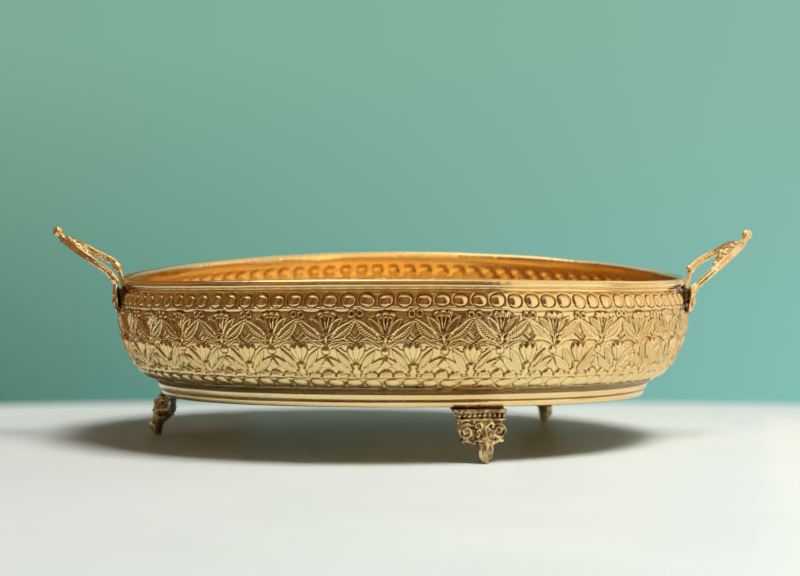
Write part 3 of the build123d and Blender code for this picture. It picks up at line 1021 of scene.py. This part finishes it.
def ring_section():
    """The base ring's closed section: flange, outer wall with two flat bands, and the edge on the sheet."""
    return np.concatenate([
        np.linspace((FLANGE_EDGE + 0.4, RING_BOTTOM), (127.0, RING_BOTTOM), 12),
        arc((128.2, 29.3), 1.0, -90, -20, 0.22),
        arc((128.7, 30.7), 1.0, -20, 44, 0.22),
        polar((129.15, 31.75), 0.1, np.array([-90, 0, 90])),
        arc((130.2, 32.9), 0.9, -60, -16, 0.22),
        arc((130.75, 34.75), 0.95, -16, 96, 0.22),
        [[129.6, RING_TOP - 0.1], [127.9, RING_TOP - 1.1]],
        arc(CORNER_CENTRE, CORNER_CURVE + 0.05, -50, -68, 1.6)[1:],
        [[RING_INSIDE, 31.6], [RING_INSIDE, FLANGE_TOP + 0.5], [RING_INSIDE - 0.4, FLANGE_TOP]],
        np.linspace((RING_INSIDE - 0.9, FLANGE_TOP), (FLANGE_EDGE + 0.4, FLANGE_TOP), 10),
        [[FLANGE_EDGE, FLANGE_TOP - 0.4], [FLANGE_EDGE, FLANGE_TOP - 1.0]],
    ])


def base_ring():
    """The foot moulding, spun from its section, with a slight hand-made wobble in its bands."""
    columns = RING_COLUMNS
    bearing = np.arange(columns) * 360 / columns
    sway = waves(bearing, 0, 0.07, 30, 0)
    dent = waves(bearing, 0, 0.03, 240, 0, count=30)
    rows = []
    shade = []
    for r, z in ring_section():
        loose = smooth_step(126.6, 128.6, r) * smooth_step(RING_TOP - 0.1, RING_TOP - 1.2, z)
        rows.append(spun_row(r + loose * (sway + dent), z + 0.5 * loose * sway, columns))
        # Painted shade: in the groove between the bands, along the top where the ring meets the sheet, and
        # lightly on its inner side and flange.
        in_groove = math.exp(-(((z - BAND_GROOVE) / 0.6) ** 2)) * smooth_step(130.1, 129.3, r)
        at_top = smooth_step(RING_TOP - 0.8, RING_TOP, z)
        inside = 0.35 if r < 126.8 else 0.0
        shade.append(np.full(columns, max(in_groove, 0.8 * at_top, inside)))
    rows = [dipped(row) for row in rows]
    return new_mesh("base_ring_beaded", *skinned(rows, closed=True), np.concatenate(shade))


def rim_wire():
    """The round wire inside the rolled edge, following its dip."""
    section = polar(CURL_CENTRE, WIRE_RADIUS, np.linspace(0, 360, 17)[:-1])
    sway = waves(np.arange(WIRE_COLUMNS) * 360 / WIRE_COLUMNS, 0, 0.01, 90, 0)
    rows = [dipped(spun_row(r + sway, z, WIRE_COLUMNS)) for r, z in section]
    return new_mesh("rim_wire_drawn", *skinned(rows, closed=True), np.zeros(len(section) * WIRE_COLUMNS))


def rivet(profile):
    """A rivet along +Z from (height, radius) pairs, its head's facets left by the hammer."""
    angle = np.linspace(0, 2 * np.pi, 40, endpoint=False)
    rows = []
    for height, radius in profile:
        hammered = 1 + 0.03 * np.cos(3 * angle + random.uniform(0, 6)) + 0.02 * np.cos(7 * angle)
        row = np.stack([radius * hammered * np.cos(angle), radius * hammered * np.sin(angle)], axis=1)
        rows.append(np.column_stack([row, np.full(len(angle), height)]))
    return skinned(rows)


def dome_profile(base, radius, height, direction, steps=7):
    """A low dome as (height, radius) pairs, from its rim to its top."""
    turn = np.linspace(0, np.pi / 2 * 0.94, steps)
    return [(base + direction * height * math.sin(t), radius * math.cos(t)) for t in turn]


def rivet_mesh(name, solids):
    points, faces = joined(solids)
    return new_mesh(name, dipped(points), faces, np.zeros(len(points)))


def handle_rivets(name, middle, inset):
    """Two rivets: a domed head on each pad, the shank through the wall, and a spread tail inside the bowl."""
    solids = []
    for side in (-1, 1):
        head = dome_profile(PAD_FACE - inset, 2.7, 1.5, 1)
        tail = dome_profile(WALL_FACE_INSIDE, 2.6, 0.9, -1)
        shank = [(WALL_FACE_INSIDE + 0.3, HANDLE_SHANK), (PAD_FACE - 0.15 - inset, HANDLE_SHANK)]
        points, faces = rivet(tail[::-1] + shank + head)
        lying = points[:, [2, 0, 1]] + (0, 0, HANDLE_RIVET_HEIGHT)
        solids.append((turned(lying, middle + side * PAD_BEARING), faces))
    return rivet_mesh(name, solids)


def foot_rivets(name, bearing):
    """Two rivets up through the foot's plate and the ring's flange, with their domed heads below."""
    solids = []
    out, along = FOOT_RIVET_PLACE
    for side in (-1, 1):
        head = dome_profile(PLATE_BOTTOM, 3.0, 1.6, -1)
        shank = [(PLATE_BOTTOM + 0.1, FOOT_SHANK), (FLANGE_TOP - 0.1, FOOT_SHANK)]
        spread = [(29.75, 2.8), (30.2, 3.0), (31.0, 2.9), (31.3, 2.2)]
        points, faces = rivet(head[::-1] + shank + spread)
        solids.append((turned(points + (out, side * along, 0), bearing), faces))
    return rivet_mesh(name, solids)


# ---------------------------------------------------------------- materials

def feed(tree, socket, value):
    """Sets a socket to a value, or links it to another node's output."""
    if isinstance(value, bpy.types.NodeSocket):
        tree.links.new(value, socket)
    else:
        socket.default_value = value


def node(tree, kind, **inputs):
    """A shader node with some of its inputs set or linked."""
    made = tree.nodes.new(kind)
    for name, value in inputs.items():
        feed(tree, made.inputs[name.replace("_", " ")], value)
    return made


def mixed(tree, share, first, second):
    """A colour between two others."""
    mix = tree.nodes.new("ShaderNodeMix")
    mix.data_type = "RGBA"
    for slot, value in ((0, share), (6, first), (7, second)):
        feed(tree, mix.inputs[slot], value)
    return mix.outputs[2]


def blended(tree, share, first, second):
    """A shader between two others."""
    mix = tree.nodes.new("ShaderNodeMixShader")
    for socket, value in zip(mix.inputs, (share, first, second)):
        feed(tree, socket, value)
    return mix.outputs[0]


def maths(tree, operation, *values, kind="ShaderNodeMath", output=0):
    """What a maths node makes of some values; with another kind it works on vectors."""
    made = tree.nodes.new(kind)
    made.operation = operation
    for socket, value in zip(made.inputs, values):
        feed(tree, socket, value)
    return made.outputs[output]


def vector_maths(tree, operation, *values, output="Vector"):
    return maths(tree, operation, *values, kind="ShaderNodeVectorMath", output=output)


def ranged(tree, value, low, high, to_low, to_high):
    """A value moved from one range to another, held at the ends."""
    ranger = node(
        tree, "ShaderNodeMapRange", Value=value, From_Min=low, From_Max=high, To_Min=to_low, To_Max=to_high,
    )
    return ranger.outputs[0]


def noise(tree, spot, scale, detail=3.0, roughness=0.55):
    made = node(tree, "ShaderNodeTexNoise", Vector=spot, Scale=scale, Detail=detail, Roughness=roughness)
    return made.outputs["Fac"]


def object_spot(tree):
    return node(tree, "ShaderNodeTexCoord").outputs["Object"]


def node_material(name):
    """A material drawn with nodes, and its node tree."""
    material = bpy.data.materials.new(name)
    material.use_nodes = True
    return material, material.node_tree


def brass(name, bright, warm, dark, roughness, depth, grime=1.0, patch_scale=22.0):
    """Polished brass: a warmer cast in patches, a dark film in the hollows and painted shade, fine scratches
    and hammering.

    bright, warm and dark are colours. depth is how strongly the hollows darken, grime how uneven the polish
    is, and patch_scale is in patches a metre.
    """
    material, tree = node_material(name)
    spot = object_spot(tree)
    hollow = node(tree, "ShaderNodeAttribute")
    hollow.attribute_name = "hollow"

    patches = ranged(tree, noise(tree, spot, patch_scale, 4.0), 0.40, 0.66, 0.0, 1.0)
    metal = mixed(tree, patches, (*bright, 1), (*warm, 1))
    specks = ranged(tree, noise(tree, spot, 900.0, 4.0, 0.7), 0.30, 0.75, 0.55, 1.25)
    # The hollow value darkens the colour: a dark film in real hollows, and painted shade where parts set it
    # for shade.
    film_and_shade = ranged(tree, hollow.outputs["Fac"], 0.12, 0.95, 0.0, depth)
    film = ranged(tree, maths(tree, "MULTIPLY", film_and_shade, specks), 0.0, 1.0, 0.0, 1.0)
    dull = ranged(tree, noise(tree, spot, 60.0, 5.0, 0.6), 0.35, 0.70, 0.0, 0.10 * grime)
    rough = maths(tree, "MULTIPLY_ADD", film, 0.28, maths(tree, "ADD", dull, roughness))

    stretched = node(tree, "ShaderNodeMapping", Vector=spot, Scale=(1.0, 1.0, 7.0)).outputs[0]
    scratches = noise(tree, stretched, 700.0, 3.0, 0.6)
    grain = node(tree, "ShaderNodeBump", Height=scratches, Strength=0.35, Distance=0.02 * MM).outputs[0]
    pits = noise(tree, spot, 240.0, 2.0, 0.5)
    hammer = node(tree, "ShaderNodeBump", Height=pits, Strength=0.5, Distance=0.06 * MM, Normal=grain)

    surface = tree.nodes["Principled BSDF"]
    feed(tree, surface.inputs["Base Color"], mixed(tree, film, metal, (*dark, 1)))
    feed(tree, surface.inputs["Metallic"], 1.0)
    feed(tree, surface.inputs["Roughness"], rough)
    feed(tree, surface.inputs["Normal"], hammer.outputs[0])
    return material


# ---------------------------------------------------------------- stage, light and camera, in metres

RIM_RADIUS = SHELL_HIGH[0] * MM
CAMERA_DISTANCE = 13.0 * RIM_RADIUS
CAMERA_HEIGHT = 1.2495 * RIM_RADIUS
CAMERA_PITCH = 3.15
SIDE_STEP = 0.0016
LENS = 166.2
SENSOR_WIDTH = 36.0
APERTURE = 14.0
FOCUS_SPOT = (0, -0.7 * RIM_RADIUS, 0)
FLOOR_SIZE = 8.0
FLOOR_FADE = (0.20, 0.27)
BOWL_MIDDLE = (0, 0, 0.05)
CARD_RADIUS = 0.27
INSIDE_CARD_RADIUS = 0.115
CARD_TOP = 0.34
CARD_COLUMNS = 40
WARM_WHITE = (1.0, 0.96, 0.86)


def backdrop_colour(tree, direction):
    """A soft blue-green sweep behind the object, from a direction of view: darker low on the left."""
    split = node(tree, "ShaderNodeSeparateXYZ", Vector=direction)
    across = ranged(tree, split.outputs["X"], -0.11, 0.11, 0.0, 1.0)
    up = ranged(tree, split.outputs["Z"], -0.085, 0.01, 0.0, 1.0)
    left = mixed(tree, up, (0.085, 0.215, 0.170, 1), (0.20, 0.41, 0.30, 1))
    right = mixed(tree, up, (0.23, 0.52, 0.47, 1), (0.24, 0.48, 0.38, 1))
    return mixed(tree, across, left, right)


def floor_material():
    """A plain pale table, faintly mottled, that gives way to the backdrop a little way behind the object."""
    material, tree = node_material("pale_floor")
    surface = tree.nodes["Principled BSDF"]
    mottle = ranged(tree, noise(tree, object_spot(tree), 6.0, 4.0), 0.3, 0.7, 0.0, 1.0)
    pale = mixed(tree, mottle, (0.77, 0.82, 0.78, 1), (0.83, 0.88, 0.84, 1))
    feed(tree, surface.inputs["Base Color"], pale)
    feed(tree, surface.inputs["Roughness"], 0.36)
    feed(tree, surface.inputs["Specular IOR Level"], 0.02)

    geometry = node(tree, "ShaderNodeNewGeometry")
    sight = vector_maths(tree, "MULTIPLY", geometry.outputs["Incoming"], (-1, -1, -1))
    ahead = vector_maths(tree, "NORMALIZE", vector_maths(tree, "MULTIPLY", sight, (1, 1, 0)))
    behind = vector_maths(tree, "DOT_PRODUCT", ahead, geometry.outputs["Position"], output="Value")
    seen = node(tree, "ShaderNodeLightPath").outputs["Is Camera Ray"]
    past = maths(tree, "MULTIPLY", ranged(tree, behind, *FLOOR_FADE, 0.0, 1.0), seen)
    sweep = node(tree, "ShaderNodeEmission", Color=backdrop_colour(tree, sight)).outputs[0]
    both = blended(tree, past, surface.outputs[0], sweep)
    feed(tree, tree.nodes["Material Output"].inputs["Surface"], both)
    return material


def card_material(name, dim, light, strength):
    """A glow mottled between two colours, on the side of a card towards the bowl. The other side is clear."""
    material, tree = node_material(name)
    upright = node(tree, "ShaderNodeMapping", Vector=object_spot(tree), Scale=(1.0, 1.0, 0.25)).outputs[0]
    mottle = ranged(tree, noise(tree, upright, 14.0, 3.0), 0.36, 0.64, 0.0, 1.0)
    tone = mixed(tree, mottle, (*dim, 1), (*light, 1))
    glow = node(tree, "ShaderNodeEmission", Color=tone, Strength=strength).outputs[0]
    clear = node(tree, "ShaderNodeBsdfTransparent").outputs[0]
    inner_side = node(tree, "ShaderNodeNewGeometry").outputs["Backfacing"]
    both = blended(tree, inner_side, clear, glow)
    feed(tree, tree.nodes["Material Output"].inputs["Surface"], both)
    return material


def card(name, radius, bearings, heights, dim, light, strength=1.0):
    """A card curved round the bowl's axis. Only the bowl's reflection shows it."""
    bearing = np.radians(np.linspace(*bearings, CARD_COLUMNS))
    x, y = radius * np.cos(bearing), radius * np.sin(bearing)
    rows = [np.stack([x, y, np.full(CARD_COLUMNS, z)], axis=1) for z in heights]
    i = np.arange(CARD_COLUMNS - 1)
    faces = [np.stack([i, i + 1, i + 1 + CARD_COLUMNS, i + CARD_COLUMNS], axis=1)]
    sheet = new_mesh(name, np.concatenate(rows) / MM, faces)
    painted(sheet, card_material(name, dim, light, strength))
    sheet.visible_camera = False
    sheet.visible_diffuse = False
    sheet.visible_shadow = False
    sheet.visible_transmission = False


def floor_plane():
    half = FLOOR_SIZE / 2
    corners = np.array([[-half, -half, 0], [half, -half, 0], [half, half, 0], [-half, half, 0]])
    plane = painted(new_mesh("floor", corners / MM, [np.array([[0, 1, 2, 3]])]), floor_material())
    plane.location = FOCUS_SPOT
    return plane


def area_light(name, spot, target, size, power, colour):
    """A rectangular lamp aimed at a target."""
    data = bpy.data.lights.new(name, "AREA")
    data.shape = "RECTANGLE"
    data.size, data.size_y = size
    data.energy = power
    data.color = colour
    lamp = bpy.data.objects.new(name, data)
    lamp.location = spot
    lamp.rotation_euler = (Vector(target) - Vector(spot)).to_track_quat("-Z", "Y").to_euler()
    bpy.context.scene.collection.objects.link(lamp)
    return lamp


def room():
    """A plain backdrop for the camera; light and reflections get a dim warm room, blue-green behind."""
    world = bpy.data.worlds.new("room")
    world.use_nodes = True
    tree = world.node_tree
    direction = node(tree, "ShaderNodeTexCoord").outputs["Generated"]
    seen = node(tree, "ShaderNodeBackground", Color=backdrop_colour(tree, direction)).outputs[0]
    split = node(tree, "ShaderNodeSeparateXYZ", Vector=direction)
    ahead = ranged(tree, split.outputs["Y"], -0.3, 0.5, 0.0, 1.0)
    walls = mixed(tree, ahead, (0.16, 0.11, 0.075, 1), (0.22, 0.42, 0.38, 1))
    upward = ranged(tree, split.outputs["Z"], 0.15, 0.75, 0.0, 1.0)
    colour = mixed(tree, upward, walls, (0.90, 0.88, 0.80, 1))
    path = node(tree, "ShaderNodeLightPath")
    strength = ranged(tree, path.outputs["Is Diffuse Ray"], 0.0, 1.0, 0.9, 0.03)
    felt = node(tree, "ShaderNodeBackground", Color=colour, Strength=strength).outputs[0]
    both = blended(tree, path.outputs["Is Camera Ray"], felt, seen)
    feed(tree, tree.nodes["World Output"].inputs["Surface"], both)
    bpy.context.scene.world = world


def camera(focus):
    """The camera, focused at the depth of an object's origin."""
    data = bpy.data.cameras.new("camera")
    data.lens = LENS
    data.sensor_width = SENSOR_WIDTH
    data.clip_end = 50.0
    data.dof.use_dof = True
    data.dof.focus_object = focus
    data.dof.aperture_fstop = APERTURE
    eye = bpy.data.objects.new("camera", data)
    eye.location = (-SIDE_STEP, -CAMERA_DISTANCE, CAMERA_HEIGHT)
    eye.rotation_euler = (math.radians(90 - CAMERA_PITCH), 0, 0)
    bpy.context.scene.collection.objects.link(eye)
    bpy.context.scene.camera = eye


def glints(castings):
    """Two small lights that only the castings reflect, for bright points on them."""
    shone_on = bpy.data.collections.new("castings")
    for piece in castings:
        shone_on.objects.link(piece)
    for name, spot, size, power in (
        ("glint", (0.55, -1.0, 0.95), (0.6, 0.5), 3.2),
        ("left_glint", (-0.20, -0.15, 0.33), (0.14, 0.10), 0.16),
    ):
        lamp = area_light(name, spot, (0.8 * spot[0], 0, BOWL_MIDDLE[2]), size, power, WARM_WHITE)
        lamp.visible_diffuse = False
        lamp.visible_camera = False
        lamp.light_linking.receiver_collection = shone_on


def stage(castings):
    """Floor, cards, lights and camera."""
    floor = floor_plane()
    card(
        "brown_card", CARD_RADIUS, bearings=(-250, -60), heights=(0.020, CARD_TOP),
        dim=(0.11, 0.05, 0.018), light=(0.30, 0.175, 0.08),
    )
    card(
        "bright_card", CARD_RADIUS, bearings=(-60, 38), heights=(0.004, CARD_TOP),
        dim=(0.50, 0.41, 0.29), light=(1.0, 0.945, 0.85), strength=1.38,
    )
    card(
        "warm_card", INSIDE_CARD_RADIUS, bearings=(-140, -10), heights=(0.100, 0.30),
        dim=(0.55, 0.36, 0.14), light=(1.0, 0.78, 0.40), strength=1.7,
    )
    window = area_light("window", (0.70, -0.60, 1.9), BOWL_MIDDLE, (0.9, 0.7), 46, (1.0, 0.99, 0.97))
    window.visible_glossy = False
    softbox = area_light("softbox", (-0.5, 0.4, 2.0), BOWL_MIDDLE, (1.6, 1.2), 7, (0.97, 1.0, 1.0))
    softbox.visible_diffuse = False
    glints(castings)
    room()
    camera(floor)
    bpy.context.scene.view_settings.view_transform = "Standard"


# ---------------------------------------------------------------- the whole object

def painted(piece, material):
    piece.data.materials.append(material)
    return piece


BRASSES = {
    "embossed_sheet": brass(
        "sheet_brass", (0.90, 0.68, 0.33), (0.86, 0.58, 0.25), (0.11, 0.045, 0.012),
        roughness=0.13, depth=1.0,
    ),
    "base_moulding": brass(
        "moulding_brass", (0.90, 0.70, 0.37), (0.84, 0.60, 0.28), (0.10, 0.05, 0.015),
        roughness=0.14, depth=0.9,
    ),
    "cast_feet": brass(
        "antiqued_cast_brass", (0.86, 0.68, 0.38), (0.24, 0.15, 0.06), (0.012, 0.009, 0.005),
        roughness=0.18, depth=1.0, grime=2.0, patch_scale=160.0,
    ),
    "cast_handles": brass(
        "bright_cast_brass", (0.93, 0.73, 0.40), (0.80, 0.52, 0.22), (0.035, 0.018, 0.007),
        roughness=0.19, depth=1.0, patch_scale=120.0,
    ),
    "rivets": brass(
        "rivet_brass", (0.82, 0.60, 0.30), (0.74, 0.50, 0.22), (0.12, 0.06, 0.02),
        roughness=0.22, depth=0.8,
    ),
    "rim_wire": brass(
        "drawn_wire_brass", (0.78, 0.57, 0.28), (0.72, 0.50, 0.24), (0.12, 0.06, 0.02),
        roughness=0.25, depth=0.8,
    ),
}


def place(piece, slot, cad_node):
    """Puts a finished piece in the part: it rides the frame, stands for its CAD node and takes its slot."""
    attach(painted(piece, BRASSES[slot]), "root")
    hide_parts(cad_node)
    return piece


def feet():
    """The three feet, each turned to the bearing of its toe, with their rivets. Returns the feet."""
    model = cast(foot_capital() + mirrored(foot_scroll() + foot_face()) + foot_leg(), 0.2, 1, 0.22)
    castings = []
    for mount in frame["record"]["mounts"]:
        where = mount["name"].removeprefix("toe_")
        x, y, _ = mount["pos_m"]
        bearing = math.degrees(math.atan2(y, x))
        castings.append(place(foot(f"foot_{where}_cast", bearing, model), "cast_feet", f"foot_{where}"))
        place(foot_rivets(f"rivets_foot_{where}_domed", bearing), "rivets", f"rivets_foot_{where}")
    return castings


# The left handle's pads are pressed this much nearer the wall.
PRESSED = 1.1

place(bowl_shell(), "embossed_sheet", "bowl_shell")
place(base_ring(), "base_moulding", "base_ring")
place(rim_wire(), "rim_wire", "rim_wire")
castings = feet()
right = handle(
    "handle_right_cast", middle=0, slope=41.0, inset=0.0, near_side=-1,
    crown=(182.4, 0, 108.6), bud_centre=(185.1, 0, 113.5),
    near=[
        (154.9, 27.0, 86.2), (157.6, 27.6, 88.8), (164.2, 28.8, 94.8), (171.0, 26.6, 100.4),
        (176.0, 20.0, 104.4), (180.0, 10.5, 107.2),
    ],
    far=[
        (155.8, 26.8, 88.4), (156.7, 27.2, 93.2), (161.1, 28.8, 97.0), (165.0, 29.2, 99.4),
        (169.0, 28.2, 101.6), (173.5, 24.0, 104.6), (178.0, 14.5, 107.8),
    ],
)
left = handle(
    "handle_left_cast", middle=180, slope=37.0, inset=PRESSED, near_side=1,
    crown=(182.4, 0, 110.8), bud_centre=(185.6, 0, 115.3),
    near=[
        (153.4, 27.0, 91.0), (156.7, 27.8, 94.9), (162.4, 28.8, 99.1), (168.0, 27.8, 102.9),
        (174.0, 22.0, 106.6), (179.0, 12.0, 109.6),
    ],
    far=[
        (154.0, 27.0, 91.0), (155.5, 27.4, 94.4), (158.2, 28.4, 97.4), (163.0, 29.0, 99.9),
        (168.0, 28.2, 102.4), (174.0, 23.0, 106.4), (179.0, 12.5, 109.8),
    ],
)
for side, middle, piece, inset in (("right", 0, right, 0.0), ("left", 180, left, PRESSED)):
    castings.append(place(piece, "cast_handles", f"handle_{side}"))
    place(handle_rivets(f"rivets_handle_{side}_domed", middle, inset), "rivets", f"rivets_handle_{side}")
stage(castings)
